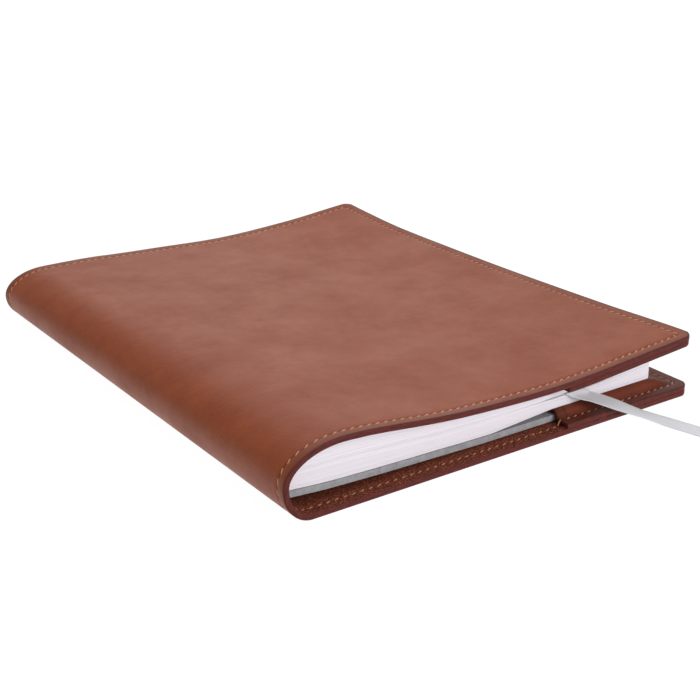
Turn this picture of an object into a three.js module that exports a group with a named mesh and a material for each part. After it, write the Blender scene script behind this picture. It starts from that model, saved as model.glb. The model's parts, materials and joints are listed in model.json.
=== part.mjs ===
// A leather notebook cover, closed over a bound notebook and lying flat.
// Millimetres. +X runs from the spine to the fore-edge, +Y from the foot to the head, +Z up.
// The pieces are drawn with the spine at x = 0 and the foot at y = 0, and the whole group is
// then shifted so that the origin is the centre of the cover's footprint, on the table.
import * as THREE from 'three';

// ---- driving dimensions ----
const COVER_W = 210;          // closed cover, spine to fore-edge
const COVER_L = 268;          // foot to head
const LEATHER = 2.5;          // thickness of the cover hide
const POCKET_LEATHER = 2.2;   // thickness of the two inner pockets
const CORNER_R = 5;           // round corners at the fore-edge
const SPINE_H = 29.5;         // outer height of the folded spine
const FOLD_STEPS = 6;         // fold lines across the spine, which share a half turn
const GAP = 0.3;              // clearance between pieces that touch
const PAGE_INSET = 9;         // the notebook stops short of the cover at foot and head
const PAGE_END = 193;         // fore-edge of the notebook
const SPINE_FACE = 5;         // back of its folded sheets
const POCKET_START = 138;     // free edge of both pockets
const BOARD = 2.8;            // back board of the notebook
const CARD = 1.2;             // front card of the notebook
const SEAM_INSET = 4.7;       // stitch line to cut edge
const SEAM_BEND = 3;          // radius of the stitch line's corners
const SEAM_FLAT = 5.6;        // width of the sewn margin, where the layers lie flat together
const THREAD_W = 0.8;
const THREAD_H = 0.5;
const PIVOT_X = 3;            // line that the upper pages turn about
const PIVOT_Z = 16.2;
const SPLIT_SHARE = [0.5, 0.62]; // share of the pages under the ribbon, near the spine and past it
const RIBBON_W = 8.6;
const RIBBON_T = 0.4;
const LOWER_SIGNATURES = 4;   // bundles of sheets under the ribbon
const UPPER_SIGNATURES = 3;   // and over it
const PAGE_GAP = 0.15;        // clearance between two bundles of sheets
const CLEAR_OF_BACK = 0.5;    // height of the board over the back cover, where it lies flat

// The spine is a run of flat strips: each fold line turns the hide by one equal step. The cover
// opens at the second fold line and at the last but one; the strips between them move as one.
const FOLD_ANGLE = Math.PI / FOLD_STEPS;
const STRIPS = FOLD_STEPS - 1;
let sineSum = 0;
for (let k = 1; k <= STRIPS; k += 1) sineSum += Math.sin(k * FOLD_ANGLE);
const STRIP_W = SPINE_H / sineSum;
const foldLines = [new THREE.Vector2(0, 0)];
for (let k = 1; k <= STRIPS; k += 1) {
  const angle = Math.PI - k * FOLD_ANGLE;
  const last = foldLines[k - 1];
  const step = new THREE.Vector2(Math.cos(angle), Math.sin(angle)).multiplyScalar(STRIP_W);
  foldLines.push(last.clone().add(step));
}
const SPINE_DEPTH = -Math.min(...foldLines.map((p) => p.x));
foldLines.forEach((p) => { p.x += SPINE_DEPTH; });

// ---- materials ----
function finish(color, roughness) {
  return new THREE.MeshStandardMaterial({ color, roughness, metalness: 0 });
}
const hide = finish(0x9a5f45, 0.5);
const pocketHide = finish(0x73402f, 0.55);
const thread = finish(0xc88c64, 0.7);
const paper = finish(0xe8e4ea, 0.85);
const board = finish(0xa4a6a8, 0.9);
const cloth = finish(0xd8d4c8, 0.9);
const satin = finish(0xd0d6d8, 0.45);

// ---- heights of the layers ----
// A smooth line through (place, height) points.
function through(points, x) {
  const last = points.length - 1;
  if (x <= points[0][0]) return points[0][1];
  if (x >= points[last][0]) return points[last][1];
  let i = 0;
  while (x > points[i + 1][0]) i += 1;
  const slope = (k) => {
    const a = points[Math.max(k - 1, 0)];
    const b = points[Math.min(k + 1, last)];
    return (b[1] - a[1]) / (b[0] - a[0]);
  };
  const span = points[i + 1][0] - points[i][0];
  const t = (x - points[i][0]) / span;
  const t2 = t * t;
  const t3 = t2 * t;
  return (2 * t3 - 3 * t2 + 1) * points[i][1] + (t3 - 2 * t2 + t) * span * slope(i)
    + (3 * t2 - 2 * t3) * points[i + 1][1] + (t3 - t2) * span * slope(i + 1);
}

function ramp(x, from, to) {
  return THREE.MathUtils.clamp((x - from) / (to - from), 0, 1);
}

// The front cover dips across its middle, is lower at the head than at the foot, and its two
// fore-edge corners curl up.
const FRONT_START = foldLines[STRIPS].x;
const FOOT_LINE = [
  [FRONT_START, SPINE_H],
  [36, 29.2],
  [62, 27],
  [82, 25.2],
  [122, 23.4],
  [167, 25.2],
  [COVER_W, 28.2],
];
const HEAD_LINE = [
  [FRONT_START, SPINE_H],
  [24, 28.2],
  [50, 24.4],
  [86, 21.6],
  [127, 20],
  [168, 21.7],
  [COVER_W, 25.4],
];
const FORE_SAG = 3;
const SAG_START = 120;
function coverTop(x, y) {
  const along = y / COVER_L;
  const flat = THREE.MathUtils.lerp(through(FOOT_LINE, x), through(HEAD_LINE, x), along);
  return flat - FORE_SAG * Math.sin(Math.PI * along) * ramp(x, SAG_START, COVER_W);
}
const coverUnder = (x, y) => coverTop(x, y) - LEATHER;

// Over the notebook each pocket stands off the cover; in its sewn margin it lies against it.
function pocketLift(x, y) {
  const side = Math.min(y, COVER_L - y);
  const fore = COVER_W - x;
  return Math.min(ramp(side, SEAM_FLAT, PAGE_INSET - GAP), ramp(fore, SEAM_FLAT, COVER_W - PAGE_END - GAP));
}
// Underside of the back board: it rides up the curve of the spine, then lies on the back cover.
const BOARD_START = 7;
const BOARD_REST = LEATHER + CLEAR_OF_BACK;
const BOARD_LINE = [
  [BOARD_START, 6.6],
  [24, 5.2],
  [50, 4.2],
  [80, 3.5],
  [100, BOARD_REST],
  [COVER_W, BOARD_REST],
];
const boardUnder = (x) => through(BOARD_LINE, x);
const boardTop = (x) => boardUnder(x) + BOARD;
function backPocketUnder(x, y) {
  return THREE.MathUtils.lerp(LEATHER + GAP, boardTop(COVER_W) + GAP, pocketLift(x, y));
}
const backPocketTop = (x, y) => backPocketUnder(x, y) + POCKET_LEATHER;
const cardTop = (x, y) => coverUnder(x, y) - GAP;
const cardUnder = (x, y) => cardTop(x, y) - CARD;
function frontPocketTop(x, y) {
  return THREE.MathUtils.lerp(coverUnder(x, y) - GAP, cardUnder(x, y) - GAP, pocketLift(x, y));
}
const frontPocketUnder = (x, y) => frontPocketTop(x, y) - POCKET_LEATHER;

// The pages climb onto the back pocket and pass under the front one.
const CLIMB_START = 104;
const CLIMB_END = POCKET_START - 1;
const STEP = POCKET_LEATHER + GAP;
function pagesUnder(x) {
  return boardTop(x) + GAP + STEP * ramp(x, CLIMB_START, CLIMB_END);
}
function pagesTop(x, y) {
  return cardUnder(x, y) - 2 * GAP - STEP * ramp(x, CLIMB_START, CLIMB_END);
}
// Level at which the book is marked: the ribbon lies here, and here the pages part.
const SHARE_START = 80;
function split(x, y) {
  const share = THREE.MathUtils.lerp(SPLIT_SHARE[0], SPLIT_SHARE[1], ramp(x, SHARE_START, POCKET_START));
  return THREE.MathUtils.lerp(pagesUnder(x), pagesTop(x, y), share);
}

// ---- solids ----
// A closed body from rows of points: each row is a loop, and the two ends are filled.
function loftSolid(rows) {
  const size = rows[0].length;
  const index = [];
  const flat = rows.flat().flatMap((p) => [p.x, p.y, p.z]);
  for (let r = 0; r + 1 < rows.length; r += 1) {
    for (let c = 0; c < size; c += 1) {
      const a = r * size + c;
      const b = r * size + ((c + 1) % size);
      index.push(a, b, b + size, a, b + size, a + size);
    }
  }
  const end = (rows.length - 1) * size;
  for (let c = 1; c + 1 < size; c += 1) {
    index.push(0, c + 1, c, end, end + c, end + c + 1);
  }
  return indexed(flat, index);
}

function indexed(flat, index) {
  const geometry = new THREE.BufferGeometry();
  geometry.setAttribute('position', new THREE.Float32BufferAttribute(flat, 3));
  geometry.setIndex(index);
  return geometry;
}

// A closed sheet over a grid: under(x, y) and top(x, y) give its two faces, and side(x) gives
// the distance that the foot and head edges are drawn in at x.
function sheetSolid({ xs, ys, under, top, side = () => 0 }) {
  const nx = xs.length;
  const ny = ys.length;
  const flat = [];
  for (const face of [under, top]) {
    for (const x of xs) {
      for (const y of ys) {
        const share = (y - ys[0]) / (ys[ny - 1] - ys[0]);
        const place = THREE.MathUtils.lerp(ys[0] + side(x), ys[ny - 1] - side(x), share);
        flat.push(x, place, face(x, place));
      }
    }
  }
  const index = [];
  const at = (face, i, j) => face * nx * ny + i * ny + j;
  const quad = (a, b, c, d) => index.push(a, b, c, a, c, d);
  const lastX = nx - 1;
  const lastY = ny - 1;
  for (let i = 0; i < lastX; i += 1) {
    for (let j = 0; j < lastY; j += 1) {
      quad(at(0, i, j), at(0, i, j + 1), at(0, i + 1, j + 1), at(0, i + 1, j));
      quad(at(1, i, j), at(1, i + 1, j), at(1, i + 1, j + 1), at(1, i, j + 1));
    }
  }
  for (let i = 0; i < lastX; i += 1) {
    quad(at(0, i, 0), at(0, i + 1, 0), at(1, i + 1, 0), at(1, i, 0));
    quad(at(0, i, lastY), at(1, i, lastY), at(1, i + 1, lastY), at(0, i + 1, lastY));
  }
  for (let j = 0; j < lastY; j += 1) {
    quad(at(0, 0, j), at(1, 0, j), at(1, 0, j + 1), at(0, 0, j + 1));
    quad(at(0, lastX, j), at(0, lastX, j + 1), at(1, lastX, j + 1), at(1, lastX, j));
  }
  return indexed(flat, index);
}

const UP = new THREE.Vector3(0, 0, 1);

// A flat band along a route. cut(along) gives half of the line across the band.
function band(route, cut, thickness) {
  const rows = route.map((p, i) => {
    const before = route[Math.max(i - 1, 0)];
    const after = route[Math.min(i + 1, route.length - 1)];
    const along = new THREE.Vector3().subVectors(after, before).normalize();
    const across = cut(along);
    const rise = new THREE.Vector3().crossVectors(across, along).setLength(thickness / 2);
    const corner = (a, r) => p.clone().addScaledVector(across, a).addScaledVector(rise, r);
    return [corner(-1, -1), corner(-1, 1), corner(1, 1), corner(1, -1)];
  });
  return loftSolid(rows);
}

// A band whose width is level everywhere.
function bandSolid(route, width, thickness) {
  const cut = (along) => new THREE.Vector3().crossVectors(along, UP).setLength(width / 2);
  return band(route, cut, thickness);
}

// A band that folds over an edge along X: every cut across it is along X.
function foldedBandSolid(route, width, thickness) {
  const cut = (along) => new THREE.Vector3(-width / 2 / Math.sqrt(1 - along.x * along.x), 0, 0);
  return band(route, cut, thickness);
}

// A section in the XZ plane, drawn along Y.
function sectionAlongY(points, from, to) {
  const settings = { depth: to - from, bevelEnabled: false };
  const geometry = new THREE.ExtrudeGeometry(new THREE.Shape(points), settings);
  geometry.rotateX(Math.PI / 2);
  geometry.translate(0, to, 0);
  return geometry;
}

const cover = new THREE.Group();
function add(name, geometry, material) {
  const mesh = new THREE.Mesh(geometry, material);
  mesh.name = name;
  cover.add(mesh);
}

function steps(from, to, count) {
  return Array.from({ length: count + 1 }, (_, i) => from + ((to - from) * i) / count);
}

// Grid lines for a panel that ends in a round corner, with lines where the sewn margin ends.
const CORNER_STEPS = 4;
const cornerXs = steps(0, Math.PI / 2, CORNER_STEPS).map((a) => COVER_W - CORNER_R + CORNER_R * Math.sin(a));
const marginYs = [0, SEAM_FLAT, PAGE_INSET - GAP];
const sideYs = (count) => [
  ...marginYs,
  ...steps(marginYs[2], COVER_L - marginYs[2], count).slice(1, -1),
  ...marginYs.map((y) => COVER_L - y).reverse(),
];
function cornerInset(x) {
  const into = Math.max(0, x - (COVER_W - CORNER_R));
  return CORNER_R - Math.sqrt(Math.max(0, CORNER_R * CORNER_R - into * into));
}

// ---- the cover hide ----
const mitre = LEATHER * Math.tan(FOLD_ANGLE / 2);
function coverPanels() {
  const start = SPINE_DEPTH + GAP / 2;
  const xs = [start, start + mitre, ...steps(24, COVER_W - CORNER_R, 12).slice(0, -1), ...cornerXs];
  // Beside the spine each panel's inner face starts one mitre further in than its outer face.
  const backTop = (x) => (x <= start ? GAP / 10 : LEATHER);
  const frontUnder = (x, y) => (x <= start ? SPINE_H - GAP / 10 : coverUnder(x, y));
  const back = { xs, ys: sideYs(4), under: () => 0, top: backTop, side: cornerInset };
  const front = { xs, ys: sideYs(6), under: frontUnder, top: coverTop, side: cornerInset };
  add('back_panel', sheetSolid(back), hide);
  add('front_panel', sheetSolid(front), hide);
}

// Strip k lies between fold lines k and k + 1, with mitred ends so that the fold can close.
function spineStrips() {
  for (let k = 0; k < STRIPS; k += 1) {
    const along = new THREE.Vector2().subVectors(foldLines[k + 1], foldLines[k]).normalize();
    const inward = new THREE.Vector2(along.y, -along.x);
    const point = (distance, depth) => {
      return foldLines[k].clone().addScaledVector(along, distance).addScaledVector(inward, depth);
    };
    const section = [
      point(GAP / 2, 0),
      point(GAP / 2 + mitre, LEATHER),
      point(STRIP_W - GAP / 2 - mitre, LEATHER),
      point(STRIP_W - GAP / 2, 0),
    ];
    add(`spine_strip_${k + 1}`, sectionAlongY(section, 0, COVER_L), hide);
  }
}

// ---- the pockets that hold the notebook ----
function pockets() {
  const turn = PAGE_END + GAP;
  const xs = [...steps(POCKET_START, turn, 4), COVER_W - CORNER_R, ...cornerXs.slice(1)];
  const back = { xs, ys: sideYs(4), under: backPocketUnder, top: backPocketTop, side: cornerInset };
  const front = { xs, ys: sideYs(6), under: frontPocketUnder, top: frontPocketTop, side: cornerInset };
  add('back_pocket', sheetSolid(back), pocketHide);
  add('front_pocket', sheetSolid(front), pocketHide);
}

// ---- the seams ----
// Along the foot, round the fore-edge and back along the head, a fixed distance from the edge.
function seamRoute(startX, height) {
  const farX = COVER_W - SEAM_INSET;
  const turn = SEAM_INSET + SEAM_BEND;
  const flat = [];
  steps(startX, COVER_W - turn, 10).forEach((x) => flat.push([x, SEAM_INSET]));
  for (const a of steps(0, Math.PI / 2, 3).slice(1)) {
    flat.push([COVER_W - turn + SEAM_BEND * Math.sin(a), turn - SEAM_BEND * Math.cos(a)]);
  }
  const foot = flat.slice();
  steps(turn, COVER_L - turn, 8).slice(1, -1).forEach((y) => flat.push([farX, y]));
  foot.reverse().forEach(([x, y]) => flat.push([x, COVER_L - y]));
  return flat.map(([x, y]) => new THREE.Vector3(x, y, height(x, y) + GAP + THREAD_H / 2));
}

function seams() {
  const free = POCKET_START - 2;
  const begin = SPINE_DEPTH + 4;
  const along = (y) => [begin, free].map((x) => new THREE.Vector3(x, y, LEATHER + GAP + THREAD_H / 2));
  add('back_seam_foot', bandSolid(along(SEAM_INSET), THREAD_W, THREAD_H), thread);
  add('back_seam_head', bandSolid(along(COVER_L - SEAM_INSET), THREAD_W, THREAD_H), thread);
  add('back_pocket_seam', bandSolid(seamRoute(POCKET_START + 2, backPocketTop), THREAD_W, THREAD_H), thread);
  add('front_seam', bandSolid(seamRoute(begin, coverTop), THREAD_W, THREAD_H), thread);
}

// ---- the notebook ----
const pageYs = steps(PAGE_INSET, COVER_L - PAGE_INSET, 6);
function notebookBoards() {
  const backXs = [...BOARD_LINE.slice(0, -1).map(([x]) => x), POCKET_START, PAGE_END];
  const frontXs = steps(14, PAGE_END, 9);
  const back = { xs: backXs, ys: pageYs, under: boardUnder, top: boardTop };
  const front = { xs: frontXs, ys: pageYs, under: cardUnder, top: cardTop };
  add('notebook_back_board', sheetSolid(back), board);
  add('notebook_front_card', sheetSolid(front), board);
}

// Folded sheets in thin bundles. Each bundle takes an equal share of its half of the block.
function signatures() {
  const roundFrom = 19.5;   // height from which the spine ends of the bundles step back
  const roundSlope = 0.9;
  const ribbonRoom = RIBBON_T / 2 + 3 * GAP;
  const halves = [
    ['lower_signature', LOWER_SIGNATURES, pagesUnder, (x, y) => split(x, y) - ribbonRoom],
    ['upper_signature', UPPER_SIGNATURES, (x, y) => split(x, y) + ribbonRoom, pagesTop],
  ];
  // Every bundle takes its height from the same lines across the page, so that they stack.
  const lines = [SPINE_FACE, 16, 30, 50, 76, CLIMB_START, CLIMB_END, 165, PAGE_END];
  const ruled = (height) => (x, y) => {
    const next = Math.max(1, lines.findIndex((line) => line >= x));
    const t = (x - lines[next - 1]) / (lines[next] - lines[next - 1]);
    return THREE.MathUtils.lerp(height(lines[next - 1], y), height(lines[next], y), t);
  };
  for (const [name, count, low, high] of halves) {
    for (let k = 0; k < count; k += 1) {
      const level = (share) => ruled((x, y) => THREE.MathUtils.lerp(low(x, y), high(x, y), share));
      const under = level(k / count);
      const whole = level((k + 1) / count);
      const top = k + 1 < count ? (x, y) => whole(x, y) - PAGE_GAP : whole;
      const topAtSpine = Math.max(top(SPINE_FACE, 0), roundFrom);
      const first = SPINE_FACE + roundSlope * (topAtSpine - roundFrom);
      const xs = [first, ...lines.slice(1)];
      add(`${name}_${k + 1}`, sheetSolid({ xs, ys: pageYs, under, top }), paper);
    }
  }
}

function spineLining() {
  const bottom = 11.4;
  const top = PIVOT_Z - 2 * GAP;
  const left = PIVOT_X + GAP;
  const right = SPINE_FACE - GAP;
  const face = [[left, bottom], [right, bottom], [right, top], [left, top]];
  const points = face.map(([x, z]) => new THREE.Vector2(x, z));
  add('spine_lining', sectionAlongY(points, PAGE_INSET, COVER_L - PAGE_INSET), cloth);
}

// ---- the ribbon bookmark ----
// From the head of the binding between the two halves of the pages, out at the foot, over the
// edge of the back cover and along the table.
function ribbonRoute() {
  const headEnd = new THREE.Vector2(14, COVER_L - PAGE_INSET - 3);
  const footEnd = new THREE.Vector2(147, PAGE_INSET + 1);
  const inside = steps(0, 1, 16).map((t) => {
    const p = headEnd.clone().lerp(footEnd, t);
    return new THREE.Vector3(p.x, p.y, split(p.x, p.y));
  });
  const outside = [
    [148.3, 8.6, 14.1],
    [149.5, 8.2, 13.4],
    [151.3, 7.8, 12.5],
    [154.3, 7, 11.2],
    [158.6, 3.7, 9.5],
    [163.8, -1, 7.3],
    [169.7, -5.9, 4.6],
    [175.3, -10.6, 2.2],
    [179.4, -15.6, 0.7],
    [182.2, -24, 0.4],
    [184.8, -34, 0.4],
    [187.2, -43, 0.4],
  ];
  return [...inside, ...outside.map(([x, y, z]) => new THREE.Vector3(x, y, z))];
}

coverPanels();
spineStrips();
pockets();
seams();
notebookBoards();
signatures();
spineLining();
add('ribbon_bookmark', foldedBandSolid(ribbonRoute(), RIBBON_W, RIBBON_T), satin);

const group = new THREE.Group();
cover.position.set(-COVER_W / 2, -COVER_L / 2, 0);
group.add(cover);
export default group;
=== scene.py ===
"""The looks of a leather notebook cover: hide, pockets, stitches, pages, board and ribbon.

Lengths are in millimetres until a mesh is made. The drawing frame has the spine at x = 0, the
foot at y = 0 and the table at z = 0; SHIFT moves it to the model's own frame.
"""
import json
import math

import bmesh
import bpy
import numpy as np
from mathutils import Matrix, Vector


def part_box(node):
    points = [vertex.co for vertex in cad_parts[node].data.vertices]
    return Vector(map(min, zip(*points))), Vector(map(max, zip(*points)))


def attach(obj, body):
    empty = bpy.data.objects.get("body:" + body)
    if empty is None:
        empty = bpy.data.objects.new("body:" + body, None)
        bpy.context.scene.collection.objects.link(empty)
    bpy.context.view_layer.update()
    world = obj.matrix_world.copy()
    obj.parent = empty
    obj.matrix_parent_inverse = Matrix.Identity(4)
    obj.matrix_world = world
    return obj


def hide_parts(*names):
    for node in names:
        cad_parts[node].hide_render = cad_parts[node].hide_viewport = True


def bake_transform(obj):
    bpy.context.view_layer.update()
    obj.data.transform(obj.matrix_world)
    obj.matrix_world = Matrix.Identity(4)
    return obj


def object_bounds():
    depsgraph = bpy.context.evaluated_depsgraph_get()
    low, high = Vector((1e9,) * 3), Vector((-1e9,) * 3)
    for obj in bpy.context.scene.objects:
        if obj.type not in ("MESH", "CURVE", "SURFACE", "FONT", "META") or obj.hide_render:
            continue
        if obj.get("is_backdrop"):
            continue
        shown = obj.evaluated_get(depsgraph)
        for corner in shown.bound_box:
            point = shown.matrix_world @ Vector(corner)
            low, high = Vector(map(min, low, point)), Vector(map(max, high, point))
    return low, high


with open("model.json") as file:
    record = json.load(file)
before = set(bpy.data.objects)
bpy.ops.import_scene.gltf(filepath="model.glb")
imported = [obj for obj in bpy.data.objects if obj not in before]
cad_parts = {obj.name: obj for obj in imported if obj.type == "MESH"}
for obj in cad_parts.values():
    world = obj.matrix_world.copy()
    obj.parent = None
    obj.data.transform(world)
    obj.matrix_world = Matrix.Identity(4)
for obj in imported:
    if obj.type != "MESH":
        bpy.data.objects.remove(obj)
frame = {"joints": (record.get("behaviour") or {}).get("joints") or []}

CAD_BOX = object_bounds()
MM = 0.001
rng = np.random.default_rng(7)

# ---- driving dimensions: the model's own sizes first ----
panel_low, panel_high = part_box("back_panel")
page_low, page_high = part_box("lower_signature_1")
spine_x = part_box("spine_strip_3")[0].x
pocket_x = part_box("back_pocket")[0].x
SHIFT = np.array([spine_x, panel_low.y, 0.0]) / MM
COVER_W = (panel_high.x - spine_x) / MM
COVER_L = (panel_high.y - panel_low.y) / MM
LEATHER = (panel_high.z - panel_low.z) / MM
PAGE_INSET = (page_low.y - panel_low.y) / MM
PAGE_END = (page_high.x - spine_x) / MM
POCKET_START = (pocket_x - spine_x) / MM
POCKET_LEATHER = 2.2
CORNER_R = 5.0
EDGE_ROUND = 0.24                    # how much the cut edges are rounded over
SEAM_INSET = 4.7                     # from a cut edge to the stitches
SEAM_BEND = 2.5                      # radius of the line of stitches in a corner
SEAM_FLAT = 5.8                      # width of a pocket's margin that lies against the cover
SEAM_DEPTH = 0.3                     # how deep the stitches pull the leather in
STITCH_PITCH = 3.9
STITCH_LENGTH = 3.7
STITCH_SLANT = math.radians(24)
THREAD_W = 0.68
THREAD_H = 0.42
THREAD_PROUD = 0.12                  # height of a stitch's middle over the leather, in thread heights
GAP = 0.3                            # between pieces that lie against each other
CONTACT = 0.03                       # between the pocket's sewn margin and the cover
BOARD = 2.8
CARD = 1.2
RIBBON_W = 8.6
RIBBON_T = 0.36


# ---- small helpers ----
def mix(a, b, t):
    return a + (b - a) * t


def ramp(x, start, end):
    return np.clip((x - start) / (end - start), 0.0, 1.0)


def smooth(x, start=0.0, end=1.0):
    t = ramp(x, start, end)
    return t * t * (3 - 2 * t)


def through(points, x):
    """A smooth line through (place, height) points."""
    place = np.array([p[0] for p in points], float)
    height = np.array([p[1] for p in points], float)
    x = np.clip(x, place[0], place[-1])
    i = np.clip(np.searchsorted(place, x, side="right") - 1, 0, len(place) - 2)
    slope = np.empty_like(place)
    slope[1:-1] = (height[2:] - height[:-2]) / (place[2:] - place[:-2])
    slope[0] = (height[1] - height[0]) / (place[1] - place[0])
    slope[-1] = (height[-1] - height[-2]) / (place[-1] - place[-2])
    span = place[i + 1] - place[i]
    t = (x - place[i]) / span
    return (
        (2 * t**3 - 3 * t**2 + 1) * height[i]
        + (t**3 - 2 * t**2 + t) * span * slope[i]
        + (3 * t**2 - 2 * t**3) * height[i + 1]
        + (t**3 - t**2) * span * slope[i + 1]
    )


def in_model(x, y, z):
    """A drawing point in the model's own frame, in metres."""
    return Vector(((x + SHIFT[0]) * MM, (y + SHIFT[1]) * MM, (z + SHIFT[2]) * MM))


# ---- camera, from the foot and the spine, a little above ----
CAMERA_PLACE = Vector((-0.33567, -0.51863, 0.25110))
camera_data = bpy.data.cameras.new("camera")
camera_data.sensor_width = 36.0
camera_data.lens = 72.03
camera = bpy.data.objects.new("camera", camera_data)
bpy.context.scene.collection.objects.link(camera)
bpy.context.scene.camera = camera
turn, pitch, roll = math.radians(34.07), math.radians(22.01), math.radians(-0.575)
flat_ahead = Vector((math.sin(turn), math.cos(turn), 0))
ahead = flat_ahead * math.cos(pitch) - Vector((0, 0, math.sin(pitch)))
level = Vector((math.cos(turn), -math.sin(turn), 0))
upright = level.cross(ahead)
side = level * math.cos(roll) + upright * math.sin(roll)
upward = upright * math.cos(roll) - level * math.sin(roll)
facing = Matrix((side, upward, -ahead)).transposed().to_4x4()
camera.matrix_world = Matrix.Translation(CAMERA_PLACE) @ facing


# ---- materials ----
def rgb(r, g, b):
    """A linear colour from everyday 0-255 values."""
    def linear(value):
        value /= 255
        return value / 12.92 if value <= 0.04045 else ((value + 0.055) / 1.055) ** 2.4
    return (linear(r), linear(g), linear(b), 1.0)


class Finish:
    """A node material with the few nodes that every finish here uses."""

    def __init__(self, name, roughness, **settings):
        self.material = bpy.data.materials.new(name)
        self.material.use_nodes = True
        self.tree = self.material.node_tree
        self.shader = self.tree.nodes["Principled BSDF"]
        self.shader.inputs["Roughness"].default_value = roughness
        for socket, value in settings.items():
            self.shader.inputs[socket.replace("_", " ")].default_value = value
        coordinates = self.tree.nodes.new("ShaderNodeUVMap")
        coordinates.uv_map = "flat"
        self.place = coordinates.outputs["UV"]

    def node(self, kind, inputs=(), **settings):
        made = self.tree.nodes.new(kind)
        for key, value in settings.items():
            setattr(made, key, value)
        for socket, value in dict(inputs).items():
            if isinstance(value, bpy.types.NodeSocket):
                self.tree.links.new(value, made.inputs[socket])
            else:
                made.inputs[socket].default_value = value
        return made

    def noise(self, scale, detail=4.0, roughness=0.55, stretch=(1, 1, 1)):
        place = self.node("ShaderNodeMapping", {"Vector": self.place, "Scale": stretch}).outputs["Vector"]
        inputs = {"Vector": place, "Scale": scale, "Detail": detail, "Roughness": roughness}
        return self.node("ShaderNodeTexNoise", inputs).outputs["Fac"]

    def cells(self, scale):
        """Distance to the border of the cell that a place is in."""
        inputs = {"Vector": self.place, "Scale": scale}
        made = self.node("ShaderNodeTexVoronoi", inputs, feature="DISTANCE_TO_EDGE")
        return made.outputs["Distance"]

    def spread(self, value, low, high, to_low=0.0, to_high=1.0):
        inputs = {"Value": value, "From Min": low, "From Max": high, "To Min": to_low, "To Max": to_high}
        return self.node("ShaderNodeMapRange", inputs).outputs["Result"]

    def maths(self, operation, a, b=0.0):
        return self.node("ShaderNodeMath", {0: a, 1: b}, operation=operation).outputs[0]

    def blend(self, share, a, b):
        made = self.node("ShaderNodeMix", data_type="RGBA")
        for socket, value in ((0, share), (6, a), (7, b)):
            if isinstance(value, bpy.types.NodeSocket):
                self.tree.links.new(value, made.inputs[socket])
            else:
                made.inputs[socket].default_value = value
        return made.outputs[2]

    def measure(self, name):
        return self.node("ShaderNodeAttribute", attribute_name=name).outputs["Fac"]

    def colour(self, value):
        if isinstance(value, bpy.types.NodeSocket):
            self.tree.links.new(value, self.shader.inputs["Base Color"])
        else:
            self.shader.inputs["Base Color"].default_value = value

    def rough(self, value):
        self.tree.links.new(value, self.shader.inputs["Roughness"])

    def bump(self, height, depth, strength=1.0):
        inputs = {"Height": height, "Distance": depth * MM, "Strength": strength}
        if self.shader.inputs["Normal"].is_linked:
            inputs["Normal"] = self.shader.inputs["Normal"].links[0].from_socket
        made = self.node("ShaderNodeBump", inputs)
        self.tree.links.new(made.outputs["Normal"], self.shader.inputs["Normal"])


def grain_side(name, light, dark, deep, rim):
    """The smooth outer side: mottled dye, fine pebble grain, a burnished rim and painted shade along the
    groove of the seam.
    """
    finish = Finish(name, 0.5, Specular_IOR_Level=0.24)
    cloudy = finish.noise(34, detail=7, roughness=0.68)
    patches = finish.spread(cloudy, 0.3, 0.72)
    pores = finish.spread(finish.noise(1500, detail=3), 0.3, 0.75)
    streaks = finish.spread(finish.noise(115, detail=9, roughness=0.8), 0.4, 0.62)
    colour = finish.blend(patches, light, dark)
    colour = finish.blend(finish.maths("MULTIPLY", streaks, 0.2), colour, deep)
    colour = finish.blend(finish.maths("MULTIPLY", pores, 0.16), colour, deep)
    edge = finish.measure("edge")
    colour = finish.blend(finish.spread(edge, 0.8, 4.2, 0.45, 0.0), colour, deep)
    colour = finish.blend(finish.spread(edge, 0.3, 0.95, 1.0, 0.0), colour, rim)
    # painted shade: the colour darkens towards deep along the stitch line, where the groove that the stitches
    # pull in would lie in shade
    seam_shade_distance = finish.maths("ABSOLUTE", finish.maths("SUBTRACT", edge, SEAM_INSET))
    colour = finish.blend(finish.spread(seam_shade_distance, 0.35, 1.1, 0.5, 0.0), colour, deep)
    finish.colour(colour)
    grain = finish.cells(620)
    finish.rough(finish.spread(cloudy, 0.3, 0.75, 0.42, 0.56))
    finish.bump(finish.spread(grain, 0.0, 0.12), 0.05, 0.55)
    finish.bump(finish.noise(240, detail=6), 0.12, 0.5)
    return finish.material


def flesh_side(name, colour, deep, fleck):
    finish = Finish(name, 0.9, Specular_IOR_Level=0.1)
    fibres = finish.noise(700, detail=8, roughness=0.75, stretch=(1, 0.5, 1))
    shade = finish.blend(finish.spread(fibres, 0.35, 0.65), colour, deep)
    specks = finish.spread(finish.noise(1500, detail=2), 0.56, 0.68)
    finish.colour(finish.blend(finish.maths("MULTIPLY", specks, 0.7), shade, fleck))
    finish.bump(fibres, 0.2, 0.9)
    return finish.material


def painted_edge(name, colour, deep):
    finish = Finish(name, 0.5, Specular_IOR_Level=0.16)
    streaks = finish.noise(300, detail=5, stretch=(1, 3, 1))
    finish.colour(finish.blend(finish.spread(streaks, 0.35, 0.7), colour, deep))
    finish.bump(streaks, 0.1, 0.5)
    return finish.material


def twisted_thread(name, colour, deep):
    finish = Finish(name, 0.55, Specular_IOR_Level=0.35, Sheen_Weight=0.2, Sheen_Roughness=0.4)
    rotation = (0, 0, math.radians(38))
    turned = finish.node("ShaderNodeMapping", {"Vector": finish.place, "Rotation": rotation})
    inputs = {"Vector": turned.outputs["Vector"], "Scale": 520, "Distortion": 0.4, "Detail": 1.0}
    plies = finish.node("ShaderNodeTexWave", inputs, wave_profile="SIN").outputs["Fac"]
    finish.colour(finish.blend(plies, deep, colour))
    finish.bump(plies, 0.1, 0.7)
    return finish.material


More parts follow.
